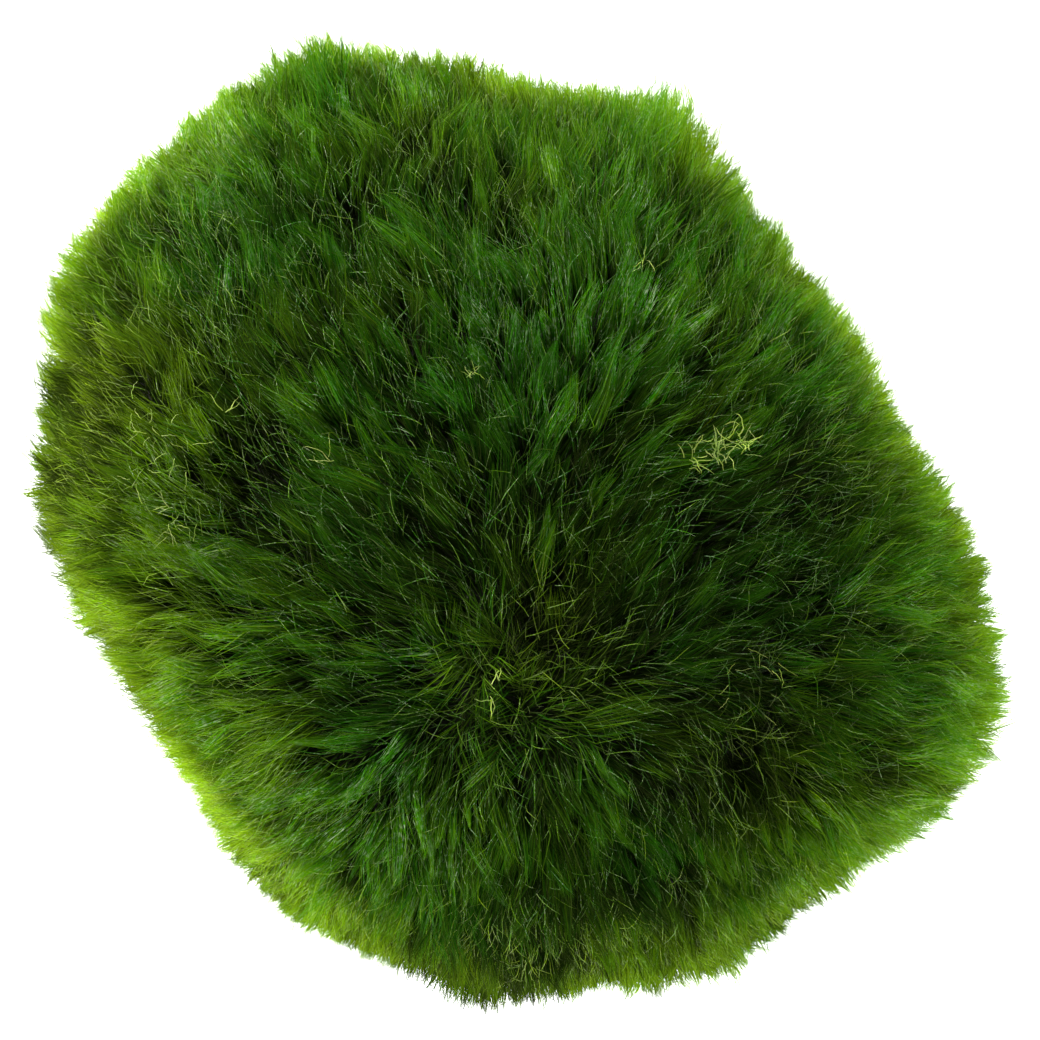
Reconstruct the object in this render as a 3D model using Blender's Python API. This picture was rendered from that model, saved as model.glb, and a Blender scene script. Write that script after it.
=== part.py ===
"""A marimo moss ball: one soft, slightly angular ball of green algae, lying on its flattened underside.

Lengths are in metres. +Z is up, +X runs along the ball's longer side, and the origin is at the middle
of the box around it, on the surface that it lies on. The solid reaches the tips of the ball's fibres.
"""

import math

import bmesh
import bpy
from mathutils import Vector, noise

MM = 0.001

# The widest outline, seen from above: the radius at equal steps of angle, anticlockwise from +X
OUTLINE_RADII = [
    r * MM
    for r in (
        29.2, 31.5, 30.6, 27.9, 24.8, 23.8, 23.5, 24.8,
        27.2, 26.5, 29.6, 31.2, 30.6, 30.9, 28.4, 27.9,
        25.2, 23.5, 24.1, 26.4, 26.9, 28.2, 28.1, 29.6,
    )
]

WIDEST_LEVEL = 20.5 * MM
CROWN_HEIGHT = 46.0 * MM
UNDERSIDE_DEPTH = 21.9 * MM
# Below 1, the sides stay full for longer before they turn over to the crown and to the underside
SIDE_FULLNESS = 0.88
# The highest point stands off the middle of the outline
CROWN_OFFSET = Vector((7.2, -6.6, 0.0)) * MM
# The corners of the outline fade to a plain oval towards the crown
PLAIN_RADIUS = 27.5 * MM

# Swellings and hollows of the upper side: where in plan, how far they spread, and how high they stand
UPPER_FORMS = [
    # the shoulder that runs down the long flank beside the crown
    ((-18.5, -9.0), 4.0, 1.0),
    ((-14.0, -13.0), 4.5, 1.4),
    ((-9.0, -17.5), 5.0, 1.4),
    ((1.0, -22.5), 5.5, 1.0),
    # the dark hollows on the inner side of that shoulder
    ((-12.5, -8.6), 3.2, -1.7),
    ((-5.5, -12.5), 4.0, -1.0),
    # the tuft in the middle of the whorl, and the swelling beside it
    ((7.2, -6.6), 4.5, 0.8),
    ((12.0, -6.5), 4.0, 0.9),
    # the hollow beyond them, and the broad swelling of the far slope
    ((17.5, 3.0), 5.0, -1.6),
    ((20.5, -4.5), 4.5, -0.8),
    ((24.5, 9.0), 6.0, 1.0),
    ((-8.0, 9.0), 9.0, 0.9),
    # the shallow furrow that crosses the far slope
    ((-17.0, 4.0), 4.5, -1.2),
    ((-12.0, 16.0), 4.5, -0.9),
]

# Broad uneven lumps all over
LUMP_SIZE = 6.5 * MM
LUMP_HEIGHT = 0.6 * MM

# The locks that the fibres lie in: how wide one is, how high it stands, how far it reaches down the ball and
# how far it turns round it, in degrees, and how many places along it its height is the mean of
LOCK_WIDTH = 2.8 * MM
LOCK_HEIGHT = 3.0 * MM
LOCK_REACH = 38.0
LOCK_TURN = 14.0
LOCK_PLACES = 9
# The size of the plain ball that the locks are laid out on
LOCK_BALL = 27.0 * MM
# The ball's weight presses locks and lumps flat over this share of the lower half's depth
PRESSED_SHARE = 0.3

# Each side of the cube that becomes the ball is cut this often both ways
CUBE_CUTS = 27
# A point this near the ground is set on it, so that the cut leaves no slivers
NEAR_GROUND = 0.15 * MM
MOSS_GREEN = (0.075, 0.165, 0.012, 1.0)
MOSS_ROUGHNESS = 0.95


def clear_scene():
    for obj in list(bpy.data.objects):
        bpy.data.objects.remove(obj)


def outline_radius(angle):
    """The outline's radius at this angle, on a smooth closed curve through OUTLINE_RADII."""
    count = len(OUTLINE_RADII)
    place = angle / (2 * math.pi) * count
    first = math.floor(place)
    t = place - first
    before, start, end, after = (OUTLINE_RADII[(first + k) % count] for k in (-1, 0, 1, 2))
    return start + 0.5 * t * (
        end - before + t * (2 * before - 5 * start + 4 * end - after + t * (3 * (start - end) + after - before))
    )


def form_height(point, upness):
    """How far the swellings and hollows of the upper side move a point of it outwards."""
    height = 0.0
    for (x, y), spread, rise in UPPER_FORMS:
        apart = math.hypot(point.x - x * MM, point.y - y * MM) / (spread * MM)
        height += rise * MM * math.exp(-apart * apart)
    return height * upness


def lump_height(point):
    """The broad uneven lumps, the same on every run."""
    return noise.noise(point / LUMP_SIZE) * LUMP_HEIGHT


def lock_height(slope, angle):
    """Long locks that run down from the crown on all sides: uneven lumps, drawn out along the ball."""
    total = 0.0
    for place in range(LOCK_PLACES):
        along = place / (LOCK_PLACES - 1) - 0.5
        down = slope + math.radians(LOCK_REACH) * along
        turned = angle + math.radians(LOCK_TURN) * along
        around = math.cos(down)
        spot = Vector((around * math.cos(turned), around * math.sin(turned), math.sin(down))) * LOCK_BALL
        total += noise.noise(spot / LOCK_WIDTH)
    return LOCK_HEIGHT * total / LOCK_PLACES


def ball_point(direction):
    """The point of the ball's surface that this unit direction of a plain sphere becomes."""
    level = max(-1.0, min(1.0, direction.z))
    reach = math.sqrt(1 - level * level)
    angle = math.atan2(direction.y, direction.x)
    radius = PLAIN_RADIUS + (outline_radius(angle) - PLAIN_RADIUS) * reach
    across = radius * reach**SIDE_FULLNESS
    rise = CROWN_HEIGHT - WIDEST_LEVEL if level > 0 else UNDERSIDE_DEPTH
    point = Vector((across * math.cos(angle), across * math.sin(angle), WIDEST_LEVEL + rise * level))
    upness = max(0.0, level)
    point += CROWN_OFFSET * upness**3
    outwards = Vector((point.x, point.y, point.z - WIDEST_LEVEL)).normalized()
    forms = form_height(point, min(1.0, 2 * upness))
    loose = min(1.0, (1 + level) / PRESSED_SHARE)
    return point + outwards * (forms + loose * (lump_height(point) + lock_height(math.asin(level), angle)))


def shape_ball(mesh):
    """A cube rounded to the ball's form, and cut flat where the ball lies on the ground."""
    ball = bmesh.new()
    bmesh.ops.create_cube(ball, size=2.0)
    bmesh.ops.subdivide_edges(ball, edges=ball.edges[:], cuts=CUBE_CUTS, use_grid_fill=True)
    for vert in ball.verts:
        # Even steps of angle, and not of length, keep the faces about equal
        spread = Vector([math.tan(side * math.pi / 4) for side in vert.co])
        vert.co = ball_point(spread.normalized())
    cut = bmesh.ops.bisect_plane(
        ball,
        geom=ball.verts[:] + ball.edges[:] + ball.faces[:],
        dist=NEAR_GROUND,
        plane_co=(0.0, 0.0, 0.0),
        plane_no=(0.0, 0.0, -1.0),
        use_snap_center=True,
        clear_outer=True,
    )
    rim = [item for item in cut["geom_cut"] if isinstance(item, bmesh.types.BMEdge)]
    bmesh.ops.contextual_create(ball, geom=rim)
    bmesh.ops.triangulate(ball, faces=ball.faces[:])
    bmesh.ops.recalc_face_normals(ball, faces=ball.faces[:])
    lowest = Vector([min(vert.co[axis] for vert in ball.verts) for axis in range(3)])
    highest = Vector([max(vert.co[axis] for vert in ball.verts) for axis in range(3)])
    middle = (lowest + highest) / 2
    bmesh.ops.translate(ball, verts=ball.verts[:], vec=(-middle.x, -middle.y, 0.0))
    ball.to_mesh(mesh)
    ball.free()


def moss_material():
    material = bpy.data.materials.new("moss")
    material.use_nodes = True
    surface = material.node_tree.nodes["Principled BSDF"]
    surface.inputs["Base Color"].default_value = MOSS_GREEN
    surface.inputs["Roughness"].default_value = MOSS_ROUGHNESS
    surface.inputs["Metallic"].default_value = 0.0
    return material


def main():
    clear_scene()
    collection = bpy.data.collections.new("marimo_moss_ball")
    bpy.context.scene.collection.children.link(collection)
    mesh = bpy.data.meshes.new("moss_ball")
    shape_ball(mesh)
    mesh.shade_smooth()
    mesh.materials.append(moss_material())
    collection.objects.link(bpy.data.objects.new("moss_ball", mesh))


main()
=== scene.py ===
"""A marimo moss ball: a dark mat with a coat of fine green fibres, combed away from a whorl.

Laid out as a Blender add-on, and run as a script. Lengths are in metres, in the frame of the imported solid,
which reaches the tips of the fibres.
"""

import math

import bmesh
import bpy
import numpy as np
from bpy.props import FloatProperty, FloatVectorProperty, IntProperty, PointerProperty
from bpy.types import Operator, Panel, PropertyGroup
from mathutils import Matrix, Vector, noise
from mathutils.bvhtree import BVHTree
from mathutils.kdtree import KDTree


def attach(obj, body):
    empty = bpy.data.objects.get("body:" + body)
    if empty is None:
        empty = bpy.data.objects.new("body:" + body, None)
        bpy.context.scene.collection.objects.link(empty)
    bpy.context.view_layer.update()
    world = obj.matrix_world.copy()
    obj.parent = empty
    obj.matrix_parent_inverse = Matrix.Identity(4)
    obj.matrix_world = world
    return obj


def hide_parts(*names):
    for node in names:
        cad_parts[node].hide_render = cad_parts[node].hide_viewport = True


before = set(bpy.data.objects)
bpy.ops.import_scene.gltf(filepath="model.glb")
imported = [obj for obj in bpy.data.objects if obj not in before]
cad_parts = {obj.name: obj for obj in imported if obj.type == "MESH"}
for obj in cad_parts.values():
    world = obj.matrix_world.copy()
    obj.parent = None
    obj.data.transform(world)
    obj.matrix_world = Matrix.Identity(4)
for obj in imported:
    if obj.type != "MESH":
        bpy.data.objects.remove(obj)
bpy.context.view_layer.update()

bl_info = {
    "name": "Marimo Moss Ball",
    "version": (1, 0, 0),
    "blender": (4, 5, 0),
    "location": "3D View > Sidebar > Moss Ball",
    "description": "Grows the fibres of a marimo moss ball over a packed solid",
    "category": "Object",
}

MM = 0.001
SOLID = "moss_ball"
BODY = "root"

# The camera looks straight down at this point, from this high above it, and this is up in the picture
LOOKS_AT = Vector((0.75, 1.5, 20.5)) * MM
CAMERA_DISTANCE = 234.0 * MM
CAMERA_UP = Vector((-0.731, 0.682, 0.0))
# The width of the camera's sensor in millimetres
SENSOR = 36.0

# All the places below are in millimetres in plan, as the camera sees them on the level that it looks at.
# The middle of the whorl, how far from it the fibres lie down fully, and the share of that in its middle
WHORL = np.array((7.6, -6.1)) * MM
WHORL_REACH = 4.0 * MM
WHORL_LEAST = 0.7
# Within this distance of it the locks lie every way: degrees by place and at random, and how much looser
WHORL_TANGLE = 4.2 * MM
WHORL_TURN_SWELLS = [(70, 1.3, 13)]
WHORL_TURN = 50
WHORL_LOOSENESS = 0.6
# How strongly the fibres of the sides hang down beside how strongly they lie away from the whorl
HANG = 0.6

# Degrees that a fibre leans over from the mat: where it grows, and how many more at its tip,
# then how many more of both where it lies flat
LEAN = 12
LEAN_MORE = 10
FLAT_LEAN = 18
FLAT_LEAN_MORE = 34

# The visible middle of a fibre stands this high over its root, and this far from it along the upper face
MIDDLE_HEIGHT = 2.2 * MM
MIDDLE_REACH = 2.0 * MM

# Fibres bend over as they near the coat's surface: from this share of its depth on,
# and the share that they still rise
PRESSED_FROM = 0.7
PRESSED_RISE = 0.32
# How much more of it they rise on the sides, and in tufts and wisps
SIDE_RAGGED = 1.6
TUFT_RAGGED = 8

# A normal's upward part is its slope. A surface counts as a side below the first slope, and fully from
# the second down, and as the upper face above the third
SIDE_FROM = 0.97
SIDE_FULLY = 0.15
UPPER_FULLY = 0.5
# On the sides the coat is this share thinner, and its fibres stand this many degrees straighter
SIDE_THINNER = 0.2
SIDE_UPRIGHT = 20
# Painted shade darkens and greens the fibres below the first slope, and most from the second down
SHADED_FROM = 0.1
SHADED_FULLY = -0.7
# Roots on the hidden underside are this share of those elsewhere: from the first slope down fully, and
# beginning this much above it
UNDERSIDE_SHARE = 0.35
SPARSE_FULLY = -0.8
SPARSE_RANGE = 2 / 3
# No fibre reaches below this height
FLOOR_CLEARANCE = 0.04 * MM

COAT_PIECES = 8
UNDERCOAT_PIECES = 2
# The straight lengths that a fibre of each kind is made of
UNDERCOAT_STEPS = 2
COAT_STEPS = 2
LOOSE_STEPS = 3
STRAW_STEPS = 6
# The share of a fibre's light that shines through it
LET_THROUGH = 0.4
# A fibre's cell on the map is this many times taller than wide. The blade covers this much of it on each
# side of its middle, and leaves this much free at both ends
CELL_SHAPE = 3.0
CELL_HALF_WIDTH = 0.3
CELL_MARGIN = 0.04
# A blade narrows by this share up to its last length, which ends in a point
BLADE_TAPER = 0.5
# How far blades face to any side, beside how far they face outwards
FACING_SPREAD = 0.35
# The usual strength of smooth noise, which swells are scaled by
NOISE_STRENGTH = 0.28

# How locks differ smoothly from place to place: how much, the size of the swells in millimetres, and the
# number of their pattern. First the degrees that they turn and lift, and the share of their length
LOCK_TURN_SWELLS = [(11, 3.6, 1), (15, 1.3, 2)]
LOCK_LIFT_SWELLS = [(6, 3.0, 3), (6, 1.2, 6)]
LOCK_LENGTH_SWELLS = [(0.07, 3.5, 4), (0.1, 1.4, 5)]
SIDE_LENGTH_SWELLS = [(0.12, 0.8, 12)]
LOCK_TONE_SWELLS = [(0.125, 2.2, 7), (0.07, 1.0, 8)]
SIDE_TONE_SWELLS = [(0.08, 0.6, 14)]
LOCK_HUE_SWELLS = [(0.08, 5.0, 9), (0.06, 1.6, 10)]
# Small gaps open where these swells pass a limit, all over and on the sides only
GAP_SWELLS = [(1.1, 1.5, 11)]
GAP_LIMIT = 0.9
SIDE_GAP_SWELLS = [(1, 0.7, 15)]
SIDE_GAP_LIMIT = 0.8
# How locks differ at random: degrees of turn, degrees where they are tangled, the share of their length,
# and how far a fibre's tip is drawn to its lock, with the spread and the limits of that
LOCK_TURN = 6
TANGLED_TURN = 32
LOCK_LENGTH = 0.1
LOCK_PULL = 0.76
LOCK_PULL_SPREAD = 0.15
LOCK_PULL_LIMITS = (0.05, 0.95)
# The pull sets in towards the tip, the later the higher this is
PULL_ONSET = 1.2
# The share of its length that a fibre loses in a hollow, and on the sides
HOLLOW_SHORTER = 0.5
SIDE_SHORTER = 0.09

# How light a lock is, from 0 to 1: the usual tone, its random spread, and what painted light on ridges,
# painted shade in hollows, painted rim light on the sides and more on their lowest part, and painted shade
# underneath add to it
TONE = 0.335
TONE_SPREAD = 0.08
RIDGE_PAINTED_LIGHT = 0.25
HOLLOW_PAINTED_SHADE = -0.4
SIDE_PAINTED_LIGHT = 0.17
STEEP_PAINTED_LIGHT = 0.02
UNDERSIDE_PAINTED_SHADE = -0.4
# How olive a lock is, from 0 to 1: the usual hue, and what yellowed places add to it, with the yellow of the
# painted rim light on the sides and their lowest part, and the green of the painted shade underneath
HUE = 0.08
YELLOWED_HUE = 0.8
SIDE_PAINTED_LIGHT_HUE = 0.15
STEEP_PAINTED_LIGHT_HUE = 0.45
UNDERSIDE_PAINTED_SHADE_HUE = -0.5

# A fibre of the coat: its random degrees of turn, how many times more of it on the sides, the degrees of
# each kink, how many times more of it on the sides, and the degrees of turn where the coat is tangled
COAT_TURN = 22
COAT_SIDE_TURN = 0.8
COAT_KINK = 8
COAT_SIDE_KINK = 0.5
COAT_TANGLED_TURN = 50
# Its share of the full length is at least the first, with the second more on the sides, and up to the
# third longer than that. The higher the exponent, the fewer are long
COAT_LEAST = 0.42
COAT_SIDE_LEAST = 0.13
COAT_RANGE = 0.63
COAT_EXPONENT = 1.5
COAT_SIDE_EXPONENT = 0.8
# This share of the fibres of the sides are wisps. They stand out of the coat by the second share of its
# depth, and are longer by the third for each part of that
WISP_SHARE = 0.07
WISP_HEIGHT = 0.15
WISP_LENGTH = 2.4
# How much lighter single fibres are: up to the first for a few, and spread by the second on the sides.
# All start this much darker than their lock
COAT_OWN_TONE = 0.26
COAT_SIDE_TONE = 0.14
COAT_DARKER = 0.05
COAT_HUE_SPREAD = 0.12
COAT_AGE_SPREAD = 0.05
# The least and greatest share of the full width, and the share that it is thinner on the sides
COAT_WIDTHS = (0.75, 1.2)
COAT_SIDE_THINNER = 0.15

# A loose fibre: its random degrees of turn, lift, bend and kink, and of turn where the coat is tangled,
# the shares of the coat's depth that its root floats at, and how many degrees flatter it lies
LOOSE_TURN = 30
LOOSE_LIFT = 12
LOOSE_BEND = 18
LOOSE_KINK = 4
LOOSE_TANGLED_TURN = 60
LOOSE_HEIGHTS = (0.3, 0.75)
LOOSE_FLATTER = 14
# The least and greatest share of the full length, and the share that it is shorter on the sides
LOOSE_LENGTHS = (0.4, 1.2)
LOOSE_SIDE_SHORTER = 0.3
# The middle and spread of its tone, hue and age, how much darker it is where the coat is tangled, how much
# more olive the painted rim light makes it on the sides, and the least and greatest share of the full width
LOOSE_TONE = (0.52, 0.22)
LOOSE_TANGLED_DARKER = 0.25
LOOSE_HUE = (0.1, 0.15)
LOOSE_SIDE_PAINTED_LIGHT_HUE = 0.7
LOOSE_AGE = (0.0, 0.1)
LOOSE_WIDTHS = (0.5, 0.8)

# A dead fibre: its random degrees of turn, lift, bend and kink, the share of the coat's depth that it
# lies at, and the degrees that it lies over
STRAW_TURN = 80
STRAW_LIFT = 8
STRAW_BEND = 45
STRAW_KINK = 12
STRAW_HEIGHT = 0.88
STRAW_LEAN = 78
# The least and greatest share of its tuft's length and thickness, and its tone, hue and age
STRAW_LENGTHS = (0.6, 1.2)
STRAW_WIDTHS = (0.35, 0.6)
STRAW_TONES = (0.4, 1.0)
STRAW_HUES = (0.2, 1.0)
STRAW_AGES = (0.5, 1.0)

# The mat is smoothed this often, and its points that lie this close are one
MAT_SMOOTHINGS = 3
SAME_PLACE = 1e-6
# The mat's darkest colour, the size of its tangle, and how high that stands
MAT_DARK = (0.003, 0.0025, 0.001)
TANGLE_SIZE = 0.6 * MM
TANGLE_HEIGHT = 0.3 * MM

# Painted shade deep in the coat: a fibre shows its root colour up to the first share of the coat's depth,
# and brightens with this steepness from there
LIT_FROM = 0.22
LIT_STEEPNESS = 1.5
# What a fibre of the darkest tone still shows of its fresh colour
LIT_LEAST = 0.04
# Painted glints, as whitish beads, start at this share of the coat's depth, and grow with this steepness
GLINT_FROM = 0.3
GLINT_STEEPNESS = 2.0
# How sharply the beads of painted glint end
BEAD_SHARPNESS = 5.0
SHEEN_ROUGHNESS = 0.22

# The floor glows by itself, so that it stays white under the ball
FLOOR_GLOW = 2.4
# The ring of light reaches up to this height of the way to straight above, and fades out this steeply
RING_TOP = 0.12
RING_FADE = 3.2
# The key light stands this far off to the picture's left, towards its top and over the floor
KEY_LEFT = 0.22
KEY_AHEAD = 0.16
KEY_HEIGHT = 0.22
KEY_SIZE = 0.1

# Where the fibres lie another way than straight from the whorl: place, reach, and degrees anticlockwise
COMBED = [
    ((-10.6, 6.0), 6.6, 20),
    ((-3.3, -1.2), 5.4, 24),
    ((-12.4, 15.5), 7.2, 12),
    ((-22.2, -7.3), 7.8, -15),
    ((3.8, 12.7), 4.5, -32),
    ((10.4, 6.1), 4.5, 42),
    ((5.2, 22.9), 4.5, 15),
    ((2.2, -14.6), 4.8, -18),
    ((9.1, -16.0), 5.1, 27),
    ((23.4, -1.5), 6.9, -60),
]

# Where the fibres cross one another: place, reach, and how much
TANGLED = [
    ((-2.3, 4.4), 3.6, 0.5),
    ((8.3, -5.1), 4.0, 1.2),
    ((18.5, 6.4), 6.5, 1.0),
    ((14.7, 16.4), 3.5, 0.5),
    ((6.2, 2.3), 3.0, 0.6),
]

# Hollows, where the coat is short and darkened by painted shade: place, reach, and how short
HOLLOWS = [
    ((-14.2, -6.6), 1.5, 0.9),
    ((-11.9, -8.6), 1.7, 1.0),
    ((-10.4, -10.4), 1.5, 0.8),
    ((-12.1, -8.5), 2.8, 0.3),
    ((7.8, -5.6), 2.6, 0.35),
    ((19.4, -3.2), 1.9, 0.9),
    ((11.7, 15.8), 3.0, 0.9),
    ((20.7, -15.2), 2.4, 0.6),
    ((21.4, 1.5), 2.4, 0.8),
    ((19.1, 3.9), 2.0, 0.6),
    ((0.1, 3.0), 1.8, 0.7),
    ((-6.3, 21.9), 1.8, 0.6),
    ((-8.0, 1.7), 1.6, 0.7),
    ((-4.4, -2.7), 1.8, 0.7),
    ((16.1, 10.3), 2.2, 0.7),
    ((24.6, 7.1), 2.0, 0.6),
    ((8.5, 8.3), 2.2, 0.6),
    ((24.5, -8.6), 2.4, 0.5),
    ((8.6, -1.6), 1.9, 0.7),
    ((12.8, -8.0), 1.4, 0.8),
    ((-19.5, 6.5), 2.4, 0.4),
]

# Painted light on locks of the ridges that stand up into the light: place, reach, and how bright
PAINTED_LIT_RIDGES = [
    ((15.9, -3.5), 2.2, 0.7),
    ((6.1, -8.6), 1.6, 0.3),
    ((2.7, -8.0), 1.6, 0.2),
    ((-9.8, -4.7), 2.2, 0.4),
    ((5.1, 1.3), 2.6, 0.4),
    ((-18.8, -9.6), 2.6, 0.5),
    ((-17.0, -11.4), 2.6, 0.5),
    ((17.1, 1.8), 1.5, 0.4),
    ((-4.5, 15.8), 2.2, 0.4),
    ((10.8, -4.0), 1.8, 0.4),
    ((-14.2, -13.4), 2.4, 0.4),
    ((-16.2, -9.3), 2.0, 0.35),
    ((13.9, -4.2), 2.2, 0.3),
]

# Painted light and shade: where the coat's colour is brighter or darker as a whole, as light falls on it:
# place, reach, and how much
PAINTED_LIGHT_AND_SHADE = [
    ((-8.3, -16.2), 5.0, 0.30),
    ((-0.7, -17.6), 5.5, 0.24),
    ((6.6, -17.8), 4.5, 0.35),
    ((-21.5, -16.2), 5.5, -0.30),
    ((-23.4, -10.4), 4.0, -0.25),
    ((17.0, -21.8), 4.5, -0.45),
    ((19.2, -15.7), 5.0, -0.30),
    ((20.7, -10.5), 4.0, -0.15),
    ((-8.5, 13.5), 7.0, 0.12),
    ((-13.9, 21.8), 4.0, 0.10),
    ((-18.8, -19.5), 4.0, -0.2),
    ((-8.5, -22.6), 4.0, -0.32),
    ((6.8, -25.4), 3.5, -0.2),
    ((-26.0, 14.0), 4.0, 0.3),
    ((-29.0, -2.5), 4.0, 0.2),
    ((13.5, 22.5), 3.5, 0.25),
    ((5.0, -22.1), 3.5, 0.25),
    ((11.6, -15.1), 3.0, 0.3),
    ((7.4, -11.2), 3.0, 0.12),
    ((-8.0, 9.7), 4.5, 0.1),
    ((-3.9, 15.8), 5.0, 0.08),
    ((2.0, 16.9), 4.0, 0.06),
    ((21.4, -17.7), 3.5, -0.10),
    ((27.7, 9.3), 4.0, 0.08),
    ((-9.8, 11.3), 4.5, 0.10),
    ((-25.2, 3.6), 5.0, 0.15),
    ((-1.8, -22.3), 4.0, 0.12),
    ((-5.3, -19.0), 3.5, 0.10),
    ((-12.0, -19.3), 3.5, 0.2),
    ((27.0, 1.5), 4.0, 0.12),
    ((17.8, -1.3), 3.0, -0.1),
    ((21.4, -4.6), 3.0, -0.1),
    ((-16.6, -10.1), 3.0, 0.12),
    ((-13.1, -13.4), 3.0, 0.12),
    ((-28.5, 3.0), 4.0, 0.2),
    ((-7.0, 26.0), 4.0, 0.1),
    ((-5.5, -12.3), 3.5, -0.12),
    ((-12.6, -5.7), 3.5, -0.06),
    ((-16.0, -2.4), 4.0, -0.10),
    ((-5.2, 14.0), 6.0, 0.10),
    ((-6.2, 8.1), 4.0, 0.08),
    ((7.7, -4.4), 5.0, -0.12),
    ((12.6, 0.0), 5.0, -0.16),
    ((17.0, 4.6), 3.5, -0.06),
    ((2.0, 1.0), 5.0, -0.08),
    ((7.8, 4.4), 5.0, -0.08),
    ((23.5, 17.5), 5.0, 0.08),
    ((26.4, 11.3), 4.0, 0.25),
    ((8.6, 8.2), 7.0, -0.10),
    ((10.0, 19.2), 5.0, -0.12),
    ((-21.0, -7.5), 3.0, 0.10),
    ((-18.1, -10.2), 3.5, 0.20),
    ((-15.3, -12.9), 3.5, 0.22),
    ((-12.4, -15.5), 3.5, 0.22),
    ((-9.6, -18.2), 3.5, 0.26),
    ((-23.4, -10.6), 3.0, -0.14),
    ((-20.6, -13.2), 3.0, -0.12),
    ((-17.7, -15.9), 3.0, -0.14),
    ((-14.8, -18.6), 2.5, -0.10),
    ((-12.2, -21.2), 3.0, -0.12),
    ((-3.9, -23.7), 3.0, -0.10),
    ((-26.6, -13.6), 3.0, 0.22),
    ((-23.6, -17.6), 3.0, 0.25),
    ((-20.6, -20.2), 2.5, 0.2),
    ((-26.8, -7.9), 3.0, 0.12),
    ((9.8, -20.2), 3.5, 0.17),
    ((12.5, -17.6), 3.5, 0.16),
    ((15.1, -14.5), 3.0, 0.13),
    ((17.8, -11.8), 2.5, 0.08),
    ((15.6, -20.5), 3.0, 0.14),
    ((20.8, -19.8), 2.5, 0.20),
    ((-7.7, 6.8), 3.0, 0.18),
    ((-10.5, 9.4), 2.5, 0.08),
    ((-2.1, 6.9), 2.4, -0.10),
    ((13.0, -5.8), 2.6, 0.22),
    ((0.3, 15.3), 3.0, 0.16),
    ((3.2, 12.6), 3.0, 0.04),
    ((-10.1, -1.6), 2.5, 0.08),
    ((-7.1, -9.8), 3.0, 0.06),
    ((-2.6, -16.5), 4.0, 0.06),
    ((2.8, 24.4), 3.5, 0.15),
    ((6.9, 22.5), 4.0, 0.08),
    ((28.3, 16.0), 3.0, 0.08),
    ((28.4, 5.2), 3.0, 0.18),
    ((31.0, 2.6), 2.5, 0.10),
    ((21.3, 6.5), 3.5, 0.06),
    ((17.2, 15.9), 3.0, 0.14),
    ((-18.6, 18.6), 4.0, 0.12),
    ((-12.6, 24.6), 4.0, 0.12),
    ((-29.7, 6.0), 3.0, -0.08),
    ((-22.8, 4.8), 3.5, 0.06),
    ((-13.5, 17.5), 3.0, -0.06),
    ((-8.0, 13.0), 4.5, 0.06),
]

# Where the green is yellower or more olive: place, reach, and how much
YELLOWED = [
    ((7.8, -5.6), 3.2, 0.25),
    ((-20.3, -11.7), 7.0, 0.5),
    ((-9.3, -17.7), 6.0, 0.4),
    ((8.2, -2.7), 3.6, 0.25),
    ((-3.0, 15.2), 8.0, -0.08),
    ((20.7, 2.3), 4.5, 0.4),
    ((5.7, 0.3), 3.5, 0.3),
    ((16.7, -15.7), 6.0, 0.1),
    ((17.7, -20.8), 4.0, -0.25),
    ((-26.0, 14.0), 4.0, 0.25),
    ((-29.0, -2.5), 4.0, 0.2),
    ((-1.8, -22.3), 5.0, 0.2),
    ((1.4, -19.5), 4.5, 0.2),
    ((-5.3, -19.0), 4.0, 0.15),
    ((4.5, -21.5), 4.0, 0.15),
    ((9.0, 7.0), 5.5, -0.12),
    ((15.0, 12.0), 5.0, -0.10),
    ((-6.0, -12.0), 4.0, -0.08),
    ((10.0, -19.0), 5.0, 0.10),
    ((-22.5, -15.0), 4.0, -0.12),
    ((-15.0, 9.0), 6.0, 0.08),
    ((27.5, 8.0), 4.0, 0.08),
    ((20.0, -15.0), 5.0, -0.10),
]

# Tufts on the outline that stand out of the coat: place, reach, and how much longer
LONG_TUFTS = [
    ((-10.7, 23.1), 1.6, 0.6),
    ((-26.7, 10.6), 1.2, 0.5),
    ((8.3, -22.9), 1.4, 0.55),
    ((-25.8, 14.4), 2.5, -0.15),
    ((8.3, -24.6), 2.5, -0.12),
    ((29.7, 0.9), 1.8, 0.08),
    ((18.3, -21.0), 3.0, 0.22),
    ((6.0, -25.0), 3.0, -0.15),
    ((-7.0, 25.0), 3.0, 0.2),
    ((-29.0, -3.0), 4.0, -0.1),
    ((28.5, -2.6), 2.5, -0.1),
    ((28.3, 12.9), 3.0, 0.25),
    ((-25.0, -11.5), 2.5, 0.25),
    ((-27.8, 10.9), 2.5, 0.15),
    ((11.9, -24.2), 3.5, -0.12),
    ((2.5, 26.5), 3.0, 0.15),
    ((8.5, 24.8), 3.0, 0.12),
]

# Dead, straw-coloured fibres that lie on the coat: place, reach, how many, how long, and how thick
STRAW = [
    ((5.9, 13.3), 1.1, 26, 1.5, 2.0),
    ((6.6, 14.6), 0.7, 14, 1.1, 2.0),
    ((5.1, 11.5), 0.6, 12, 1.2, 1.7),
    ((7.0, -6.6), 0.6, 7, 1.1, 1.8),
    ((-7.7, 5.5), 0.25, 9, 0.7, 1.6),
    ((-16.2, -7.0), 0.2, 3, 1.6, 2.0),
    ((-9.9, -4.5), 0.5, 4, 1.6, 1.2),
    ((-17.3, -11.7), 3.2, 26, 1.2, 1.3),
    ((-13.2, -14.6), 2.4, 14, 1.2, 1.3),
    ((20.7, -16.9), 1.2, 12, 1.5, 1.0),
    ((17.1, 4.8), 2.6, 14, 1.2, 1.0),
    ((-8.3, 25.3), 1.0, 6, 1.2, 1.0),
    ((-5.6, 17.6), 0.5, 5, 1.0, 1.4),
]


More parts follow.
